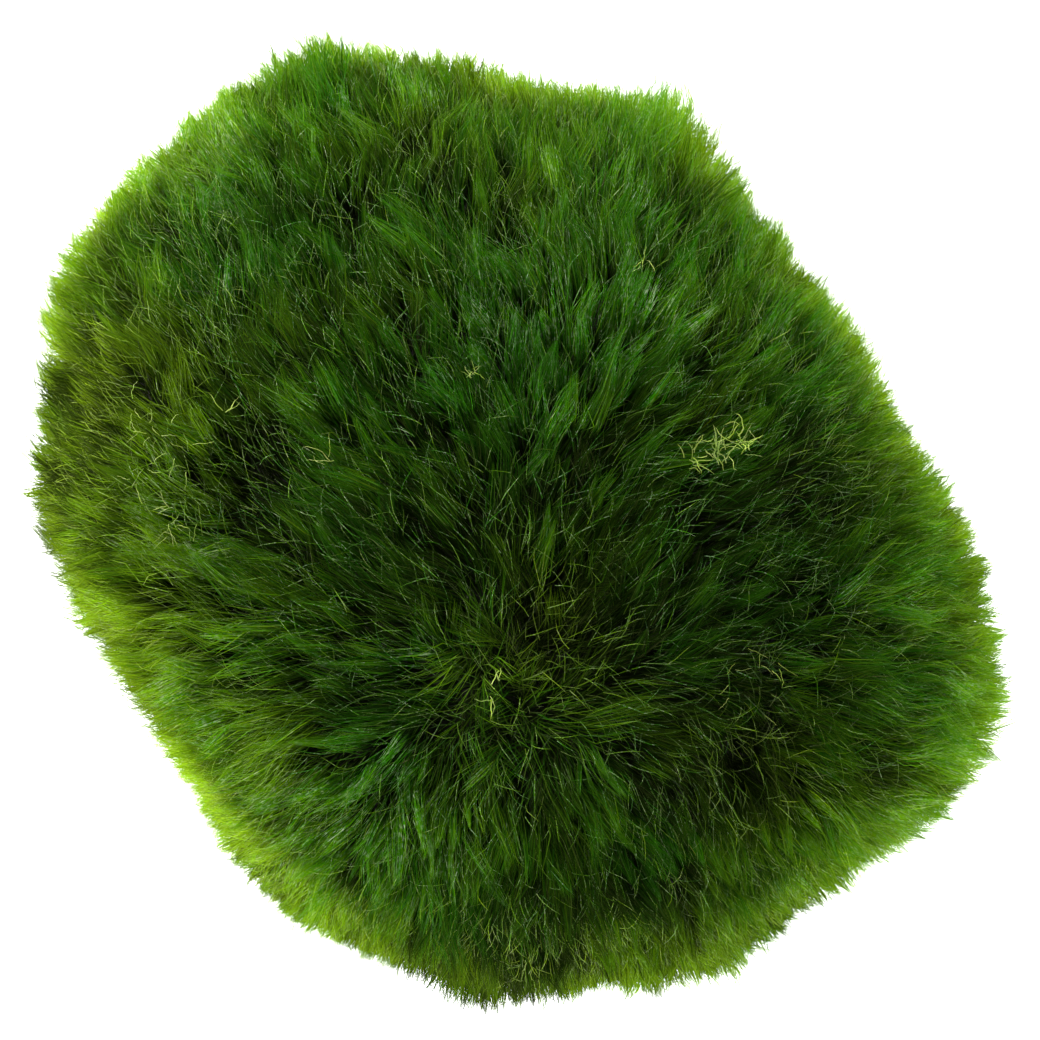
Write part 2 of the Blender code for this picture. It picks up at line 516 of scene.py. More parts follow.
class MossBallFibres(PropertyGroup):
    seed: IntProperty(name="Seed", description="Start of the random draws", default=7)
    mat_depth: FloatProperty(
        name="Coat Depth",
        description="From the tips of the coat down to the mat",
        default=2.9 * MM,
        unit="LENGTH",
    )
    lock_spacing: FloatProperty(
        name="Lock Spacing",
        description="Between the middles of two locks of fibres",
        default=0.75 * MM,
        unit="LENGTH",
    )
    fibre_width: FloatProperty(
        name="Fibre Width", description="At the thickest", default=0.062 * MM, unit="LENGTH"
    )
    coat_length: FloatProperty(
        name="Coat Length", description="Of a long fibre", default=4.6 * MM, unit="LENGTH"
    )
    short_length: FloatProperty(
        name="Short Length", description="Of a fibre of the undercoat", default=3.0 * MM, unit="LENGTH"
    )
    loose_length: FloatProperty(
        name="Loose Length",
        description="Of a fibre that lies across others",
        default=2.1 * MM,
        unit="LENGTH",
    )
    coat_count: IntProperty(name="Coat Fibres", description="In all pieces of the coat", default=200000)
    short_count: IntProperty(name="Short Fibres", description="In the undercoat", default=56000)
    loose_count: IntProperty(name="Loose Fibres", description="That lie across others", default=33000)


class MossBallColours(PropertyGroup):
    # The colour of a fibre's foot, which is also the colour of the painted shade deep in the coat
    root: FloatVectorProperty(
        name="Root", description="Foot of a fibre", default=(0.011, 0.020, 0.003), subtype="COLOR"
    )
    felt: FloatVectorProperty(
        name="Felt", description="The mat under the coat", default=(0.012, 0.009, 0.003), subtype="COLOR"
    )
    green: FloatVectorProperty(
        name="Green", description="A fresh fibre", default=(0.054, 0.355, 0.004), subtype="COLOR"
    )
    olive: FloatVectorProperty(
        name="Olive", description="A yellowed fibre", default=(0.54, 0.86, 0.010), subtype="COLOR"
    )
    # The colour of the painted glints, highlights painted near the fibres' tips
    glint: FloatVectorProperty(
        name="Glint", description="A pale tip", default=(0.78, 0.9, 0.62), subtype="COLOR"
    )
    sheen: FloatVectorProperty(
        name="Sheen",
        description="Fibres seen along the surface",
        default=(0.84, 0.98, 0.40),
        subtype="COLOR",
    )
    straw: FloatVectorProperty(
        name="Straw", description="A dead fibre", default=(0.74, 0.82, 0.27), subtype="COLOR"
    )


class MossBallStudio(PropertyGroup):
    view_width: FloatProperty(
        name="View Width",
        description="Seen across the ball's widest level",
        default=62.4 * MM,
        unit="LENGTH",
    )
    floor_size: FloatProperty(
        name="Floor Size", description="Side of the floor", default=6.0, unit="LENGTH"
    )
    horizon: FloatProperty(name="Horizon", description="Light from the sides", default=5.8)
    zenith: FloatProperty(name="Zenith", description="Light from straight above", default=0.04)
    key_power: FloatProperty(name="Key Light", description="In watts", default=0.75, unit="POWER")


def unit(vectors):
    """Each vector at length 1."""
    return vectors / np.maximum(np.linalg.norm(vectors, axis=-1, keepdims=True), 1e-9)


def dot(a, b):
    """Each vector of one list times its partner in the other, as a column."""
    return (a * b).sum(axis=-1, keepdims=True)


def ease(values):
    """0 up to 0, 1 from 1 on, and smooth between them."""
    values = np.clip(values, 0, 1)
    return values * values * (3 - 2 * values)


def bells(places, spots):
    """The sum of bell-shaped spots at these places, each with its place in plan, reach and height."""
    total = np.zeros(len(places))
    for (x, y), reach, height in spots:
        apart = np.hypot(places[:, 0] - x * MM, places[:, 1] - y * MM) / (reach * MM)
        total += height * np.exp(-apart * apart)
    return total


def as_seen(points):
    """Where the camera sees these points, in plan on the level that it looks at."""
    nearness = CAMERA_DISTANCE / (CAMERA_DISTANCE + LOOKS_AT.z - points[:, 2])
    middle = np.array(LOOKS_AT[:2])
    return middle + (points[:, :2] - middle) * nearness[:, None]


def swells(places, size, offset):
    """A smooth random value about 0 for each place, mostly within 1 of it, with swells of this size."""
    shift = Vector((offset, 2 * offset, 3 * offset))
    return np.array([noise.noise(Vector(place) / size + shift) for place in places]) / NOISE_STRENGTH


def unevenness(places, patterns):
    """The sum of several patterns of swells over these places, each with its strength, size and number."""
    return sum(strength * swells(places, size * MM, number) for strength, size, number in patterns)


def scatter(mesh, count, draw):
    """Even random points on a mesh, and the smooth normals there."""
    mesh.calc_loop_triangles()
    corners = np.empty(len(mesh.loop_triangles) * 3, np.int32)
    mesh.loop_triangles.foreach_get("vertices", corners)
    corners = corners.reshape(-1, 3)
    points = np.empty(len(mesh.vertices) * 3, np.float32)
    mesh.vertices.foreach_get("co", points)
    points = points.reshape(-1, 3).astype(float)
    normals = np.empty(len(mesh.vertices) * 3, np.float32)
    mesh.vertices.foreach_get("normal", normals)
    normals = normals.reshape(-1, 3).astype(float)
    a, b, c = points[corners].transpose(1, 0, 2)
    crossed = np.cross(b - a, c - a)
    area = np.linalg.norm(crossed, axis=1)
    fullness = ease((unit(crossed)[:, 2] - SPARSE_FULLY) / SPARSE_RANGE)
    weight = area * (UNDERSIDE_SHARE + (1 - UNDERSIDE_SHARE) * fullness)
    chosen = draw.choice(len(corners), count, p=weight / weight.sum())
    share = draw.random((count, 2))
    share[share.sum(1) > 1] = 1 - share[share.sum(1) > 1]
    weights = np.column_stack([1 - share.sum(1), share])[:, :, None]
    places = (points[corners[chosen]] * weights).sum(1)
    return places, unit((normals[corners[chosen]] * weights).sum(1))


def sideness(normals):
    """0 on the upper face, and 1 on the sides."""
    return ease((SIDE_FROM - normals[:, 2]) / (SIDE_FROM - SIDE_FULLY))


def shadiness(normals):
    """0 down to about the widest level, and 1 on the underside, where shade is painted."""
    return ease((SHADED_FROM - normals[:, 2]) / (SHADED_FROM - SHADED_FULLY))


def coat_depth(normals, depth):
    """How far the mat lies under the tips of the coat."""
    return depth * (1 - SIDE_THINNER * sideness(normals))


def combing(places, normals):
    """Which way the fibres lie along the surface, longer where they lie flatter."""
    away = as_seen(places) - WHORL
    upper = np.clip(normals[:, 2] / UPPER_FULLY, 0, 1)
    middles = places + normals * MIDDLE_HEIGHT
    middles[:, :2] += unit(away) * (MIDDLE_REACH * upper)[:, None]
    heading = np.arctan2(away[:, 1], away[:, 0]) + np.radians(bells(as_seen(middles), COMBED)) * upper
    strength = WHORL_LEAST + (1 - WHORL_LEAST) * ease(np.linalg.norm(away, axis=1) / WHORL_REACH)
    down = np.full(len(places), -HANG)
    way = np.column_stack([np.cos(heading) * strength, np.sin(heading) * strength, down])
    return way - normals * dot(way, normals)


class Growth:
    """How a bunch of fibres stands: where each is rooted, and which way it leans, turns and bends.

    The turn, lift, bend and kink given are the spread of a random angle, in degrees.
    """

    def __init__(
        self, places, normals, depth, draw, turn, lift=9, bend=10, kink=0, steps=COAT_STEPS, lifted=0
    ):
        count = len(places)
        self.places = places
        self.normals = normals
        self.side = sideness(normals)
        self.depth = coat_depth(normals, depth)
        self.roots = places + normals * (self.depth * lifted)[:, None]
        way = combing(places, normals)
        self.flatness = np.clip(np.linalg.norm(way, axis=1), 0, 1)
        self.way = unit(way)
        self.turn = draw.normal(0, turn, count)
        self.lift = draw.normal(0, lift, count)
        self.bend = draw.normal(0, bend, count)
        self.kinks = draw.normal(0, kink, (count, steps, 2))
        self.length = np.ones(count)
        self.wisps = np.zeros(count)

    def paths(self, length, steps):
        """The points along each fibre, from its root to its tip."""
        side = np.cross(self.normals, self.way)
        points = [self.roots]
        for step in range(steps):
            along = (step + 0.5) / steps
            more = (LEAN_MORE + FLAT_LEAN_MORE * self.flatness) * along
            lean = LEAN + FLAT_LEAN * self.flatness + more
            lean = np.radians(lean + self.lift + self.kinks[:, step, 0] - SIDE_UPRIGHT * self.side)
            turn = np.radians(self.turn + self.bend * along + self.kinks[:, step, 1])
            flat = self.way * np.cos(turn)[:, None] + side * np.sin(turn)[:, None]
            ahead = self.normals * np.cos(lean)[:, None] + flat * np.sin(lean)[:, None]
            points.append(points[-1] + ahead * (length * self.length / steps)[:, None])
        return np.stack(points, axis=1)

    def rise(self, paths):
        """How high each point of the paths stands in the coat: 0 at the mat, and 1 at its surface."""
        heights = np.einsum("fpk,fk->fp", paths - self.places[:, None, :], self.normals)
        return heights / self.depth[:, None]

    def pressed(self, paths, tufts=0.0):
        """The paths, bent over near the coat's surface, and less so on the sides and in tufts."""
        over = np.maximum(self.rise(paths) - PRESSED_FROM, 0)
        room = (PRESSED_RISE * (1 + SIDE_RAGGED * self.side + TUFT_RAGGED * tufts))[:, None]
        sunk = over - room * (1 - np.exp(-over / room))
        return paths - self.normals[:, None] * (sunk * self.depth[:, None])[:, :, None]


def locks_of(mesh, fibres, draw):
    """The guides of the coat's locks, all over the mat, and a tree that finds the nearest one."""
    area = sum(face.area for face in mesh.polygons)
    count = int(area / fibres.lock_spacing**2)
    places, normals = scatter(mesh, count, draw)
    guides = Growth(places, normals, fibres.mat_depth, draw, LOCK_TURN)
    middles = as_seen(guides.paths(fibres.coat_length, 1).mean(axis=1))
    tangled = bells(middles, TANGLED)
    guides.turn += unevenness(places, LOCK_TURN_SWELLS)
    guides.turn += TANGLED_TURN * tangled * draw.normal(0, 1, count)
    to_whorl = np.linalg.norm(as_seen(places) - WHORL, axis=1) / WHORL_TANGLE
    in_whorl = np.exp(-(to_whorl**4))
    guides.turn += (unevenness(places, WHORL_TURN_SWELLS) + draw.normal(0, WHORL_TURN, count)) * in_whorl
    guides.lift += unevenness(places, LOCK_LIFT_SWELLS)
    gap = np.clip(unevenness(places, GAP_SWELLS) - GAP_LIMIT, 0, 1)
    gap += np.clip(guides.side * (unevenness(places, SIDE_GAP_SWELLS) - SIDE_GAP_LIMIT), 0, 1)
    guides.hollow = np.clip(bells(middles, HOLLOWS) + gap, 0, 1)
    guides.length = 1 + unevenness(places, LOCK_LENGTH_SWELLS)
    guides.length += draw.normal(0, LOCK_LENGTH, count) * (1 + guides.side)
    guides.length += guides.side * unevenness(places, SIDE_LENGTH_SWELLS)
    guides.tufts = bells(middles, LONG_TUFTS)
    guides.length *= (1 - HOLLOW_SHORTER * guides.hollow) * (1 + guides.tufts)
    guides.length *= 1 - SIDE_SHORTER * guides.side
    guides.pull = np.clip(draw.normal(LOCK_PULL, LOCK_PULL_SPREAD, count), *LOCK_PULL_LIMITS)
    guides.pull *= 1 - WHORL_LOOSENESS * in_whorl
    steep = guides.side**3
    shaded = shadiness(normals)
    # The lock's tone: its own, with painted light on ridges and the sides, painted shade in hollows, gaps
    # and underneath, and spots of painted light and shade
    guides.tone = TONE + unevenness(places, LOCK_TONE_SWELLS) + draw.normal(0, TONE_SPREAD, count)
    guides.tone += RIDGE_PAINTED_LIGHT * bells(middles, PAINTED_LIT_RIDGES) + HOLLOW_PAINTED_SHADE * guides.hollow + bells(middles, PAINTED_LIGHT_AND_SHADE)
    guides.tone += guides.side * (SIDE_PAINTED_LIGHT + unevenness(places, SIDE_TONE_SWELLS))
    guides.tone += STEEP_PAINTED_LIGHT * steep + UNDERSIDE_PAINTED_SHADE * shaded
    # Its hue: its own, yellower in the painted rim light of the sides, and greener in the painted shade
    # underneath
    guides.hue = HUE + unevenness(places, LOCK_HUE_SWELLS) + YELLOWED_HUE * bells(middles, YELLOWED)
    guides.hue += SIDE_PAINTED_LIGHT_HUE * guides.side + STEEP_PAINTED_LIGHT_HUE * steep + UNDERSIDE_PAINTED_SHADE_HUE * shaded
    tree = KDTree(count)
    for index, place in enumerate(places):
        tree.insert(place, index)
    tree.balance()
    return guides, tree


def nearest_of(tree, places):
    """The number of the lock that each place belongs to."""
    return np.array([tree.find(place)[1] for place in places])


def gathered(growth, guides, nearest, length, steps):
    """The fibres' paths, each drawn towards its lock's guide as it nears its tip."""
    growth.turn += guides.turn[nearest]
    growth.lift += guides.lift[nearest]
    growth.bend += guides.bend[nearest]
    growth.length = growth.length * guides.length[nearest]
    own = growth.paths(length, steps)
    shared = guides.paths(length, steps)[nearest]
    along = np.linspace(0, 1, steps + 1)[None, :, None]
    paths = own + (shared - own) * guides.pull[nearest][:, None, None] * along**PULL_ONSET
    return growth.pressed(paths, guides.tufts[nearest] + growth.wisps)


def blade_of(steps):
    """One flat blade that ends in a point, as its vertices' place (side, along) and its triangles."""
    blade = bmesh.new()
    bmesh.ops.create_grid(blade, x_segments=1, y_segments=steps, size=0.5)
    end = [vert for vert in blade.verts if vert.co.y > 0.5 - 0.1 / steps]
    bmesh.ops.pointmerge(blade, verts=end, merge_co=(0.0, 0.5, 0.0))
    bmesh.ops.triangulate(blade, faces=blade.faces[:])
    blade.verts.index_update()
    places = np.array([(2 * vert.co.x, vert.co.y + 0.5) for vert in blade.verts])
    triangles = np.array([[vert.index for vert in face.verts] for face in blade.faces])
    blade.free()
    return places, triangles


def map_places(count, side, along):
    """Where each vertex of each blade lies on the colour map: one upright cell of the map to a blade."""
    across_cells = math.ceil(math.sqrt(count * CELL_SHAPE))
    up_cells = math.ceil(count / across_cells)
    cell = np.arange(count)
    u = (cell % across_cells)[:, None] + 0.5 + CELL_HALF_WIDTH * side[None]
    v = (cell // across_cells)[:, None] + CELL_MARGIN + (1 - 2 * CELL_MARGIN) * along[None]
    return np.stack([u / across_cells, v / up_cells], axis=2).reshape(-1, 2)


def sew(name, paths, facing, width, looks):
    """A mesh of one blade for each path, with its width at the thickest and the values its finish reads."""
    count, points = paths.shape[:2]
    blade, triangles = blade_of(points - 1)
    side, along = blade[:, 0], blade[:, 1]
    row = np.rint(along * (points - 1)).astype(int)
    ahead = unit(np.gradient(paths, axis=1))
    across = unit(np.cross(ahead, facing[:, None, :]))
    taper = 1 - BLADE_TAPER * along**2
    wide = across[:, row] * (0.5 * width[:, None] * taper * side)[:, :, None]
    verts = paths[:, row] + wide
    verts[:, :, 2] = np.maximum(verts[:, :, 2], FLOOR_CLEARANCE)
    faces = triangles[None] + (np.arange(count) * len(blade))[:, None, None]
    mesh = bpy.data.meshes.new(name)
    mesh.from_pydata(verts.reshape(-1, 3), [], faces.reshape(-1, 3))
    for key, value in looks.items():
        spread = value[:, row].ravel() if value.ndim == 2 else np.repeat(value, len(blade))
        mesh.attributes.new(key, "FLOAT", "POINT").data.foreach_set("value", spread.astype(np.float32))
    corner_verts = np.empty(len(mesh.loops), np.int32)
    mesh.loops.foreach_get("vertex_index", corner_verts)
    layer = mesh.uv_layers.new(name="OFBake", do_init=False)
    corner_places = map_places(count, side, along)[corner_verts]
    layer.uv.foreach_set("vector", corner_places.astype(np.float32).ravel())
    return mesh


def rough_facing(normals, draw):
    """Which way each blade faces: mostly outwards, and a little to any side."""
    return unit(normals + draw.normal(0, FACING_SPREAD, normals.shape))


def add_piece(name, mesh, material):
    """Puts a finished mesh in the scene as a piece of the ball."""
    piece = bpy.data.objects.new(name, mesh)
    bpy.context.scene.collection.objects.link(piece)
    mesh.materials.append(material)
    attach(piece, BODY)
    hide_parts(SOLID)


class Value:
    """A number that varies over a surface. Plain arithmetic on it adds Math nodes."""

    def __init__(self, nodes, socket):
        self.nodes = nodes
        self.socket = socket

    def maths(self, operation, *values):
        node = self.nodes.node("ShaderNodeMath", {"operation": operation}, dict(enumerate(values)))
        return Value(self.nodes, node.outputs[0])

    def __add__(self, other):
        return self.maths("ADD", self, other)

    def __sub__(self, other):
        return self.maths("SUBTRACT", self, other)

    def __rsub__(self, other):
        return self.maths("SUBTRACT", other, self)

    def __mul__(self, other):
        return self.maths("MULTIPLY", self, other)

    def __pow__(self, other):
        return self.maths("POWER", self, other)

    def clamped(self):
        return self.maths("MINIMUM", self.maths("MAXIMUM", self, 0.0), 1.0)

    __radd__ = __add__
    __rmul__ = __mul__


class Nodes:
    """The nodes of a new material, or of the world."""

    def __init__(self, owner):
        owner.use_nodes = True
        self.owner = owner
        self.tree = owner.node_tree
        self.tree.nodes.clear()

    def node(self, kind, settings=None, inputs=None):
        """Adds a node, sets it up, then gives its sockets their values or links."""
        made = self.tree.nodes.new(kind)
        for key, value in (settings or {}).items():
            setattr(made, key, value)
        for key, value in (inputs or {}).items():
            if isinstance(value, Value):
                value = value.socket
            if isinstance(value, bpy.types.NodeSocket):
                self.tree.links.new(value, made.inputs[key])
            else:
                made.inputs[key].default_value = value
        return made

    def attribute(self, name):
        made = self.node("ShaderNodeAttribute", {"attribute_name": name})
        return Value(self, made.outputs["Fac"])

    def clouds(self, size, detail):
        """Soft noise from 0 to 1 with clouds of this size."""
        place = self.node("ShaderNodeTexCoord").outputs["Object"]
        inputs = {"Vector": place, "Scale": 1 / size, "Detail": detail}
        made = self.node("ShaderNodeTexNoise", None, inputs)
        return Value(self, made.outputs["Fac"])

    def mixed(self, share, first, second):
        """A colour between two colours."""
        settings = {"data_type": "RGBA", "clamp_factor": True}
        return self.node("ShaderNodeMix", settings, {0: share, 6: first, 7: second}).outputs[2]

    def blended(self, share, first, second):
        """A surface between two surfaces."""
        return self.node("ShaderNodeMixShader", None, {0: share, 1: first, 2: second}).outputs[0]

    def thin(self, colour):
        """A surface of this colour that light only shines through."""
        return self.node("ShaderNodeBsdfTranslucent", None, {"Color": opaque(colour)}).outputs[0]


def opaque(colour):
    return (*colour, 1.0)


def mat_finish(colours):
    """The dark felt of old fibres under the coat."""
    nodes = Nodes(bpy.data.materials.new("dark_mat"))
    tangle = nodes.clouds(TANGLE_SIZE, detail=6.0)
    base = nodes.mixed(tangle, opaque(MAT_DARK), opaque(colours.felt))
    bump = nodes.node("ShaderNodeBump", None, {"Strength": 0.8, "Distance": TANGLE_HEIGHT, "Height": tangle})
    inputs = {"Base Color": base, "Roughness": 0.9, "Normal": bump.outputs[0]}
    surface = nodes.node("ShaderNodeBsdfPrincipled", None, inputs)
    nodes.node("ShaderNodeOutputMaterial", None, {"Surface": surface.outputs[0]})
    return nodes.owner


def fibre_finish(name, colours, specular, roughness, bead, glints):
    """Green algae which light shines through, darkened towards the root by painted shade.

    It has beads of painted glint of this size, and the higher glints is, the fewer are bright.
    """
    nodes = Nodes(bpy.data.materials.new(name))
    rise, tone, hue, age = (nodes.attribute(key) for key in ("rise", "tone", "hue", "age"))
    fresh = nodes.mixed(hue, opaque(colours.green), opaque(colours.olive))
    # Painted shade: deep in the coat a fibre takes its root colour, and near the surface its fresh colour
    lit = ((rise - LIT_FROM) * LIT_STEEPNESS).clamped() * (LIT_LEAST + (1 - LIT_LEAST) * tone)
    base = nodes.mixed(lit, opaque(colours.root), fresh)
    glint_beads = ((nodes.clouds(bead, detail=1.0) - 0.5) * BEAD_SHARPNESS).clamped()
    # Painted glints: whitish beads near the tips of the lighter fibres
    pale = ((rise - GLINT_FROM) * GLINT_STEEPNESS).clamped() * tone**glints * glint_beads
    base = nodes.mixed(pale, base, nodes.mixed(hue, opaque(colours.glint), opaque(colours.straw)))
    # Dead fibres take their straw colour, beaded in the same pattern as the painted glints
    base = nodes.mixed(age * (0.5 + 0.5 * glint_beads), base, opaque(colours.straw))
    surface = nodes.node(
        "ShaderNodeBsdfPrincipled",
        None,
        {
            "Base Color": base,
            "Roughness": roughness,
            "Specular IOR Level": specular,
            "Sheen Weight": 1.0,
            "Sheen Roughness": SHEEN_ROUGHNESS,
            "Sheen Tint": opaque(colours.sheen),
        },
    )
    through = nodes.blended(hue, nodes.thin(colours.green), nodes.thin(colours.olive))
    # The light that shines through is darkened towards the root by the same painted shade
    through = nodes.blended(lit, nodes.thin(colours.root), through)
    whole = nodes.blended(LET_THROUGH, surface.outputs[0], through)
    nodes.node("ShaderNodeOutputMaterial", None, {"Surface": whole})
    return nodes.owner


def mat_mesh(depth):
    """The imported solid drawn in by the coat's depth, and smoothed."""
    mat = bmesh.new()
    mat.from_mesh(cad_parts[SOLID].data)
    bmesh.ops.remove_doubles(mat, verts=mat.verts[:], dist=SAME_PLACE)
    mat.normal_update()
    normals = np.array([vert.normal for vert in mat.verts])
    for vert, step in zip(mat.verts, -normals * coat_depth(normals, depth)[:, None]):
        vert.co += Vector(step)
    for _ in range(MAT_SMOOTHINGS):
        bmesh.ops.smooth_vert(
            mat, verts=mat.verts[:], factor=0.5, use_axis_x=True, use_axis_y=True, use_axis_z=True
        )
    bmesh.ops.recalc_face_normals(mat, faces=mat.faces[:])
    mesh = bpy.data.meshes.new("moss_mat")
    mat.to_mesh(mesh)
    mat.free()
    mesh.shade_smooth()
    return mesh


def the_mat():
    """The mat's mesh, which the fibres are rooted in."""
    return bpy.data.objects["moss_mat"].data


class MOSSBALL_OT_mat(Operator):
    """Lay the dark mat that the fibres grow from"""

    bl_idname = "moss_ball.mat"
    bl_label = "Mat"

    def execute(self, context):
        fibres, colours = context.scene.moss_fibres, context.scene.moss_colours
        add_piece("moss_mat", mat_mesh(fibres.mat_depth), mat_finish(colours))
        return {"FINISHED"}


class MOSSBALL_OT_coat(Operator):
    """Grow the short undercoat and the long coat, gathered in locks"""

    bl_idname = "moss_ball.coat"
    bl_label = "Coat"

    def execute(self, context):
        fibres, colours = context.scene.moss_fibres, context.scene.moss_colours
        draw = np.random.default_rng(fibres.seed)
        mat = the_mat()
        guides, tree = locks_of(mat, fibres, draw)
        material = fibre_finish(
            "algae_fibre", colours, specular=0.0, roughness=0.6, bead=0.3 * MM, glints=4.0
        )
        kinds = (
            ("undercoat", UNDERCOAT_PIECES, fibres.short_count, fibres.short_length, UNDERCOAT_STEPS),
            ("coat", COAT_PIECES, fibres.coat_count, fibres.coat_length, COAT_STEPS),
        )
        pieces = [
            (f"{kind}_{number + 1}", total // parts, length, steps)
            for kind, parts, total, length, steps in kinds
            for number in range(parts)
        ]
        for name, count, length, steps in pieces:
            places, normals = scatter(mat, count, draw)
            growth = Growth(places, normals, fibres.mat_depth, draw, COAT_TURN, kink=COAT_KINK, steps=steps)
            side = growth.side
            growth.kinks *= 1 + COAT_SIDE_KINK * side[:, None, None]
            growth.turn *= 1 + COAT_SIDE_TURN * side
            longer = draw.random(count) ** (COAT_EXPONENT + COAT_SIDE_EXPONENT * side)
            growth.length = (COAT_LEAST + COAT_SIDE_LEAST * side) + COAT_RANGE * longer
            growth.wisps = WISP_HEIGHT * side * (draw.random(count) < WISP_SHARE)
            growth.length *= 1 + WISP_LENGTH * growth.wisps
            tangled = np.clip(bells(as_seen(places), TANGLED), 0, 1)
            growth.turn += draw.normal(0, COAT_TANGLED_TURN, count) * tangled
            nearest = nearest_of(tree, places)
            paths = gathered(growth, guides, nearest, length, steps)
            own = COAT_OWN_TONE * draw.random(count) ** 3 + COAT_SIDE_TONE * side * draw.normal(0, 1, count)
            looks = {
                "rise": growth.rise(paths),
                "tone": np.clip(guides.tone[nearest] - COAT_DARKER + own, 0, 1),
                "hue": np.clip(guides.hue[nearest] + draw.normal(0, COAT_HUE_SPREAD, count), 0, 1),
                "age": np.clip(draw.normal(0, COAT_AGE_SPREAD, count), 0, 1),
            }
            width = fibres.fibre_width * draw.uniform(*COAT_WIDTHS, count) * (1 - COAT_SIDE_THINNER * side)
            add_piece(name, sew(name, paths, rough_facing(normals, draw), width, looks), material)
        return {"FINISHED"}


class MOSSBALL_OT_loose(Operator):
    """Lay single loose fibres across the coat"""

    bl_idname = "moss_ball.loose"
    bl_label = "Loose Fibres"

    def execute(self, context):
        fibres, colours = context.scene.moss_fibres, context.scene.moss_colours
        draw = np.random.default_rng(fibres.seed + 1)
        places, normals = scatter(the_mat(), fibres.loose_count, draw)
        count = len(places)
        growth = Growth(
            places,
            normals,
            fibres.mat_depth,
            draw,
            LOOSE_TURN,
            lift=LOOSE_LIFT,
            bend=LOOSE_BEND,
            kink=LOOSE_KINK,
            steps=LOOSE_STEPS,
            lifted=draw.uniform(*LOOSE_HEIGHTS, count),
        )
        side = growth.side
        tangled = bells(as_seen(places), TANGLED)
        growth.lift += LOOSE_FLATTER
        growth.turn += draw.normal(0, LOOSE_TANGLED_TURN, count) * np.clip(tangled, 0, 1)
        growth.length = draw.uniform(*LOOSE_LENGTHS, count) * (1 - LOOSE_SIDE_SHORTER * side)
        paths = growth.pressed(growth.paths(fibres.loose_length, LOOSE_STEPS))
        # More olive in yellowed places, and on the sides in the painted rim light
        olive_and_painted_light = bells(as_seen(places), YELLOWED) + LOOSE_SIDE_PAINTED_LIGHT_HUE * side
        looks = {
            "rise": growth.rise(paths),
            "tone": np.clip(draw.normal(*LOOSE_TONE, count) - LOOSE_TANGLED_DARKER * tangled, 0, 1),
            "hue": np.clip(draw.normal(*LOOSE_HUE, count) + olive_and_painted_light, 0, 1),
            "age": np.clip(draw.normal(*LOOSE_AGE, count), 0, 1),
        }
        width = fibres.fibre_width * draw.uniform(*LOOSE_WIDTHS, count)
        mesh = sew("loose_fibres", paths, rough_facing(normals, draw), width, looks)
        material = fibre_finish(
            "wet_fibre", colours, specular=0.1, roughness=0.3, bead=0.14 * MM, glints=1.2
        )
        add_piece("loose_fibres", mesh, material)
        return {"FINISHED"}


class MOSSBALL_OT_straw(Operator):
    """Drop small tufts of dead, straw-coloured fibres on the coat"""

    bl_idname = "moss_ball.straw"
    bl_label = "Straw"

    def execute(self, context):
        fibres = context.scene.moss_fibres
        draw = np.random.default_rng(fibres.seed + 2)
        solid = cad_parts[SOLID].data
        corners = [vert.co for vert in solid.vertices]
        tree = BVHTree.FromPolygons(corners, [face.vertices for face in solid.polygons])
        camera = LOOKS_AT + Vector((0, 0, CAMERA_DISTANCE))
        found = []
        for (x, y), reach, number, length, thickness in STRAW:
            for _ in range(number):
                spot = Vector((*draw.normal((x, y), reach / 2) * MM, LOOKS_AT.z))
                place, normal = tree.ray_cast(camera, spot - camera)[:2]
                if place:
                    normals = np.array([normal])
                    place -= normal * coat_depth(normals, fibres.mat_depth)[0]
                    found.append((*place, *normal, length * MM, thickness))
        found = np.array(found)
        count = len(found)
        growth = Growth(
            found[:, :3],
            found[:, 3:6],
            fibres.mat_depth,
            draw,
            STRAW_TURN,
            lift=STRAW_LIFT,
            bend=STRAW_BEND,
            kink=STRAW_KINK,
            steps=STRAW_STEPS,
            lifted=STRAW_HEIGHT,
        )
        growth.lift += STRAW_LEAN - LEAN - FLAT_LEAN - FLAT_LEAN_MORE / 2
        growth.length = found[:, 6] * draw.uniform(*STRAW_LENGTHS, count)
        paths = growth.paths(1.0, STRAW_STEPS)
        looks = {
            "rise": growth.rise(paths),
            "tone": draw.uniform(*STRAW_TONES, count),
            "hue": draw.uniform(*STRAW_HUES, count),
            "age": draw.uniform(*STRAW_AGES, count),
        }
        width = fibres.fibre_width * draw.uniform(*STRAW_WIDTHS, count) * found[:, 7]
        mesh = sew("straw", paths, rough_facing(growth.normals, draw), width, looks)
        add_piece("straw", mesh, bpy.data.materials["wet_fibre"])
        return {"FINISHED"}


def lay_floor(size):
    """A pale floor that is lit evenly."""
    floor = bmesh.new()
    bmesh.ops.create_grid(floor, x_segments=1, y_segments=1, size=size / 2)
    mesh = bpy.data.meshes.new("floor")
    floor.to_mesh(mesh)
    floor.free()
    nodes = Nodes(bpy.data.materials.new("pale_floor"))
    inputs = {
        "Base Color": (0.7, 0.7, 0.7, 1.0),
        "Roughness": 0.8,
        "Specular IOR Level": 0.0,
        "Emission Color": (1.0, 1.0, 1.0, 1.0),
        "Emission Strength": FLOOR_GLOW,
    }
    surface = nodes.node("ShaderNodeBsdfPrincipled", None, inputs)
    nodes.node("ShaderNodeOutputMaterial", None, {"Surface": surface.outputs[0]})
    mesh.materials.append(nodes.owner)
    ground = bpy.data.objects.new("floor", mesh)
    bpy.context.scene.collection.objects.link(ground)


